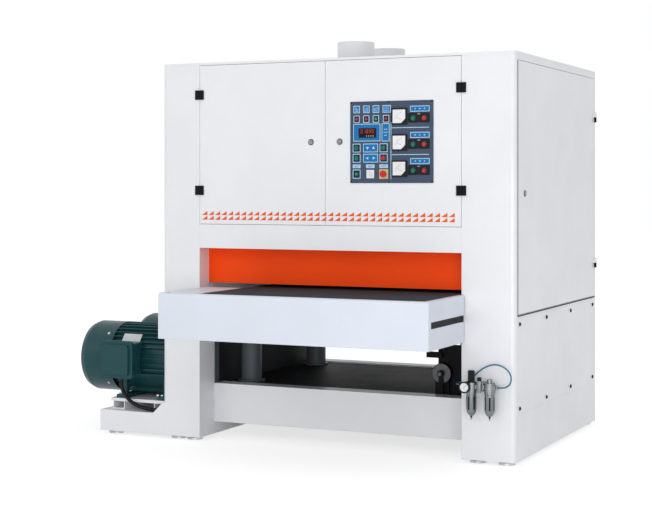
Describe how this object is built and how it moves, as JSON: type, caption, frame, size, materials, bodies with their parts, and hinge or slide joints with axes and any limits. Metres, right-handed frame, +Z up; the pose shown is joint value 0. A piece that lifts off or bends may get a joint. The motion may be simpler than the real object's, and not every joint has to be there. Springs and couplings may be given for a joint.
{
  "type": "wide-belt planer sander",
  "caption": "Floor-standing wide-belt sander with two sanding heads over a rising conveyor table, side motors, front doors with a control panel and an air unit.",
  "frame": {"origin": "middle of the machine's footprint at floor level", "axes": "+X right along the machine's width as an operator at the infeed sees it, +Y back along the feed, +Z up"},
  "size_m": [2.7843, 2.404, 2.325],
  "materials": {
    "cabinet_paint": "white powder coat",
    "orange_paint": "orange gloss paint",
    "deck_paint": "dark grey paint",
    "machined_steel": "ground steel",
    "head_paint": "blue-grey paint",
    "abrasive": "abrasive grain on cloth",
    "motor_paint": "dark teal enamel",
    "black_metal": "black",
    "rubber_belt": "dark ribbed rubber",
    "vbelt": "black rubber",
    "post_paint": "grey paint",
    "cast_silver": "die cast",
    "clear_bowl": "clear polycarbonate",
    "white_dial": "white dial",
    "hose": "blue nylon tube",
    "cable": "black sheath",
    "lock_steel": "nickel plated",
    "panel_paint": "grey-blue",
    "black_plastic": "black",
    "green_plastic": "green",
    "red_plastic": "red",
    "white_plastic": "white",
    "rotor_steel": "turned steel"
  },
  "bodies": {
    "frame": {"left_column": "cabinet_paint", "right_column": "cabinet_paint", "roof": "cabinet_paint", "rear_panel": "cabinet_paint", "front_frame": "cabinet_paint", "throat_guard": "orange_paint", "lower_beams": "cabinet_paint", "base_deck": "deck_paint", "levelling_feet": "machined_steel", "side_cover": "cabinet_paint", "head_frames": "head_paint", "sanding_belts": "abrasive", "motor_housings": "motor_paint", "fan_covers": "motor_paint", "terminal_boxes": "motor_paint", "motor_plates": "cabinet_paint", "drive_belts": "vbelt", "fixed_hinge_leaves": "black_metal", "lift_columns": "post_paint", "lift_gearbox": "black_metal", "air_unit": "cast_silver", "air_bowls": "clear_bowl", "pressure_gauge": "white_dial", "air_hose": "hose", "motor_cables": "cable"},
    "left_door": {"left_door": "cabinet_paint", "left_door_leaves": "black_metal"},
    "right_door": {"right_door": "cabinet_paint", "right_door_leaves": "black_metal", "control_panel": "panel_paint", "panel_meters": "black_plastic"},
    "side_door": {"side_door": "cabinet_paint"},
    "table": {"table_frame": "cabinet_paint", "feed_belt": "rubber_belt"},
    "left_lock": {"left_lock": "lock_steel"},
    "right_lock": {"right_lock": "lock_steel"},
    "side_lock": {"side_lock": "lock_steel"},
    "emergency_stop": {"emergency_stop": "red_plastic"},
    "key_selector": {"key_selector": "white_plastic"},
    "start_button_1": {"start_button_1": "green_plastic"},
    "start_button_2": {"start_button_2": "green_plastic"},
    "start_button_3": {"start_button_3": "green_plastic"},
    "stop_button_1": {"stop_button_1": "red_plastic"},
    "stop_button_2": {"stop_button_2": "red_plastic"},
    "stop_button_3": {"stop_button_3": "red_plastic"},
    "table_up_button": {"table_up_button": "green_plastic"},
    "table_down_button": {"table_down_button": "green_plastic"},
    "feed_start_button": {"feed_start_button": "green_plastic"},
    "feed_stop_button": {"feed_stop_button": "red_plastic"},
    "feed_drive_roller": {"feed_drive_roller": "machined_steel"},
    "feed_idle_roller": {"feed_idle_roller": "machined_steel"},
    "front_yoke": {"front_yoke": "head_paint"},
    "rear_yoke": {"rear_yoke": "head_paint"},
    "front_tension_roller": {"front_tension_roller": "machined_steel"},
    "rear_tension_roller": {"rear_tension_roller": "machined_steel"},
    "front_drum": {"front_drum": "rotor_steel"},
    "rear_drum": {"rear_drum": "rotor_steel"},
    "front_rotor": {"front_rotor": "rotor_steel"},
    "rear_rotor": {"rear_rotor": "rotor_steel"},
    "regulator_knob": {"regulator_knob": "black_plastic"}
  },
  "joints": [
    {"name": "left_door_swing", "type": "hinge", "parent": "frame", "child": "left_door", "pos_m": [-0.52315, -0.6743, 1.725], "axis": [0, 0, -1], "range_deg": [0, 110]},
    {"name": "right_door_swing", "type": "hinge", "parent": "frame", "child": "right_door", "pos_m": [1.07685, -0.6743, 1.725], "axis": [0, 0, 1], "range_deg": [0, 110]},
    {"name": "side_door_swing", "type": "hinge", "parent": "frame", "child": "side_door", "pos_m": [1.38515, 0.919, 1.45], "axis": [0, 0, 1], "range_deg": [0, 110]},
    {"name": "left_lock_turn", "type": "hinge", "parent": "left_door", "child": "left_lock", "pos_m": [0.18885, -0.668, 1.72], "axis": [0, -1, 0], "range_deg": [0, 90]},
    {"name": "right_lock_turn", "type": "hinge", "parent": "right_door", "child": "right_lock", "pos_m": [0.36485, -0.668, 1.72], "axis": [0, 1, 0], "range_deg": [0, 90]},
    {"name": "side_lock_turn", "type": "hinge", "parent": "side_door", "child": "side_lock", "pos_m": [1.37785, -0.507, 1.435], "axis": [-1, 0, 0], "range_deg": [0, 90]},
    {"name": "emergency_stop_press", "type": "slide", "parent": "right_door", "child": "emergency_stop", "axis": [0, 1, 0], "range_m": [0, 0.003], "stiffness_N_per_m": 500},
    {"name": "key_turn", "type": "hinge", "parent": "right_door", "child": "key_selector", "pos_m": [0.5509, -0.672, 1.54017], "axis": [0, 1, 0], "range_deg": [-45, 45]},
    {"name": "start_button_1_press", "type": "slide", "parent": "right_door", "child": "start_button_1", "axis": [0, 1, 0], "range_m": [0, 0.003], "stiffness_N_per_m": 300},
    {"name": "start_button_2_press", "type": "slide", "parent": "right_door", "child": "start_button_2", "axis": [0, 1, 0], "range_m": [0, 0.003], "stiffness_N_per_m": 300},
    {"name": "start_button_3_press", "type": "slide", "parent": "right_door", "child": "start_button_3", "axis": [0, 1, 0], "range_m": [0, 0.003], "stiffness_N_per_m": 300},
    {"name": "stop_button_1_press", "type": "slide", "parent": "right_door", "child": "stop_button_1", "axis": [0, 1, 0], "range_m": [0, 0.003], "stiffness_N_per_m": 300},
    {"name": "stop_button_2_press", "type": "slide", "parent": "right_door", "child": "stop_button_2", "axis": [0, 1, 0], "range_m": [0, 0.003], "stiffness_N_per_m": 300},
    {"name": "stop_button_3_press", "type": "slide", "parent": "right_door", "child": "stop_button_3", "axis": [0, 1, 0], "range_m": [0, 0.003], "stiffness_N_per_m": 300},
    {"name": "table_up_button_press", "type": "slide", "parent": "right_door", "child": "table_up_button", "axis": [0, 1, 0], "range_m": [0, 0.003], "stiffness_N_per_m": 300},
    {"name": "table_down_button_press", "type": "slide", "parent": "right_door", "child": "table_down_button", "axis": [0, 1, 0], "range_m": [0, 0.003], "stiffness_N_per_m": 300},
    {"name": "feed_start_button_press", "type": "slide", "parent": "right_door", "child": "feed_start_button", "axis": [0, 1, 0], "range_m": [0, 0.003], "stiffness_N_per_m": 300},
    {"name": "feed_stop_button_press", "type": "slide", "parent": "right_door", "child": "feed_stop_button", "axis": [0, 1, 0], "range_m": [0, 0.003], "stiffness_N_per_m": 300},
    {"name": "table_lift", "type": "slide", "parent": "frame", "child": "table", "axis": [0, 0, 1], "range_m": [-0.15, 0]},
    {"name": "feed_drive_turn", "type": "hinge", "parent": "table", "child": "feed_drive_roller", "pos_m": [0.41385, 1.11, 0.8207], "axis": [1, 0, 0], "continuous": true},
    {"name": "feed_idle_turn", "type": "hinge", "parent": "table", "child": "feed_idle_roller", "pos_m": [0.41385, -1.11, 0.8207], "axis": [1, 0, 0], "continuous": true},
    {"name": "front_belt_tension", "type": "slide", "parent": "frame", "child": "front_yoke", "axis": [0, 0, 1], "range_m": [-0.02, 0]},
    {"name": "front_drum_turn", "type": "hinge", "parent": "frame", "child": "front_drum", "pos_m": [0.40885, -0.068, 1.0249], "axis": [1, 0, 0], "continuous": true},
    {"name": "front_tension_turn", "type": "hinge", "parent": "front_yoke", "child": "front_tension_roller", "pos_m": [0.40885, -0.068, 1.825], "axis": [1, 0, 0], "continuous": true},
    {"name": "front_motor_turn", "type": "hinge", "parent": "frame", "child": "front_rotor", "pos_m": [-0.77215, -0.418, 0.438], "axis": [1, 0, 0], "continuous": true},
    {"name": "rear_belt_tension", "type": "slide", "parent": "frame", "child": "rear_yoke", "axis": [0, 0, 1], "range_m": [-0.02, 0]},
    {"name": "rear_drum_turn", "type": "hinge", "parent": "frame", "child": "rear_drum", "pos_m": [0.40885, 0.417, 1.0249], "axis": [1, 0, 0], "continuous": true},
    {"name": "rear_tension_turn", "type": "hinge", "parent": "rear_yoke", "child": "rear_tension_roller", "pos_m": [0.40885, 0.417, 1.825], "axis": [1, 0, 0], "continuous": true},
    {"name": "rear_motor_turn", "type": "hinge", "parent": "frame", "child": "rear_rotor", "pos_m": [-0.77215, 0.182, 0.438], "axis": [1, 0, 0], "continuous": true},
    {"name": "regulator_turn", "type": "hinge", "parent": "frame", "child": "regulator_knob", "pos_m": [1.15385, -0.728, 0.48], "axis": [0, 0, 1], "range_deg": [-180, 180]}
  ],
  "couplings": [
    {"joint": "feed_idle_turn", "follows": "feed_drive_turn", "ratio": 1},
    {"joint": "front_tension_turn", "follows": "front_drum_turn", "ratio": 2.0345},
    {"joint": "front_motor_turn", "follows": "front_drum_turn", "ratio": 0.86364},
    {"joint": "rear_tension_turn", "follows": "rear_drum_turn", "ratio": 2.0345},
    {"joint": "rear_motor_turn", "follows": "rear_drum_turn", "ratio": 0.86364}
  ]
}
